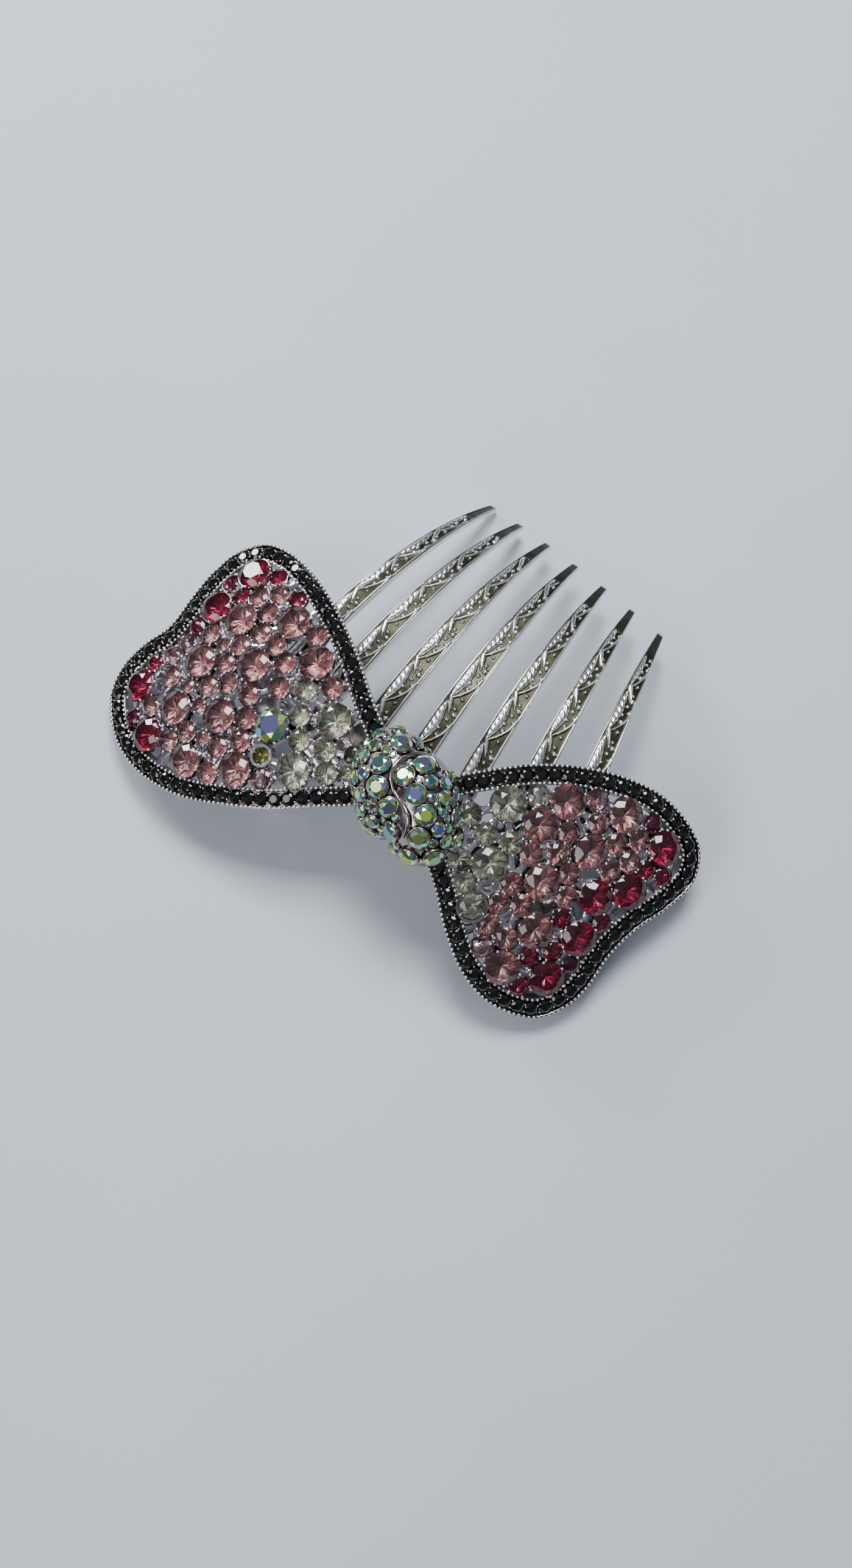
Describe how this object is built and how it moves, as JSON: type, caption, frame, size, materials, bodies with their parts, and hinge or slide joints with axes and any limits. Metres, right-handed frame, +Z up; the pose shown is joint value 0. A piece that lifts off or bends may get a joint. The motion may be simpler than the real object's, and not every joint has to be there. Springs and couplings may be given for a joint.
{
  "type": "decorative hair comb",
  "caption": "Decorative hair comb: a domed openwork bow set with cut stones on the spine of an arched metal comb whose embossed teeth taper and lean together.",
  "frame": {"origin": "centre of the footprint, on the table that the comb lies on", "axes": "+X along the bow, +Y from the bow towards the tooth tips, +Z up with the jewelled face upward"},
  "size_m": [0.0824, 0.0637, 0.0224],
  "materials": {
    "comb_silver": "bright plated, embossed",
    "bow_silver": "bright plated cast metal",
    "solder": "dull solder",
    "jet_glass": "black cut glass",
    "clear_glass": "foil-backed clear cut glass",
    "peach_glass": "foil-backed champagne-peach cut glass",
    "red_glass": "foil-backed dark red cut glass",
    "aurora_glass": "foil-backed clear glass with a rainbow coating",
    "olive_glass": "foil-backed olive cut glass"
  },
  "bodies": {
    "root": {"centre_solder": "solder", "clear_bezel": "bow_silver", "comb": "comb_silver", "knot": "bow_silver", "knot_aurora_large": "aurora_glass", "knot_aurora_medium": "aurora_glass", "knot_aurora_small": "aurora_glass", "left_aurora_large_stones": "aurora_glass", "left_clear_large_stones": "clear_glass", "left_clear_small_stones": "clear_glass", "left_olive_small_stones": "olive_glass", "left_peach_large_stones": "peach_glass", "left_peach_small_stones": "peach_glass", "left_red_large_stones": "red_glass", "left_red_small_stones": "red_glass", "left_rim_stones": "jet_glass", "left_solder": "solder", "left_wing": "bow_silver", "olive_bezel": "bow_silver", "right_clear_framed_stones": "clear_glass", "right_clear_large_stones": "clear_glass", "right_clear_small_stones": "clear_glass", "right_peach_large_stones": "peach_glass", "right_peach_small_stones": "peach_glass", "right_red_large_stones": "red_glass", "right_red_small_stones": "red_glass", "right_rim_stones": "jet_glass", "right_solder": "solder", "right_wing": "bow_silver"}
  },
  "joints": []
}
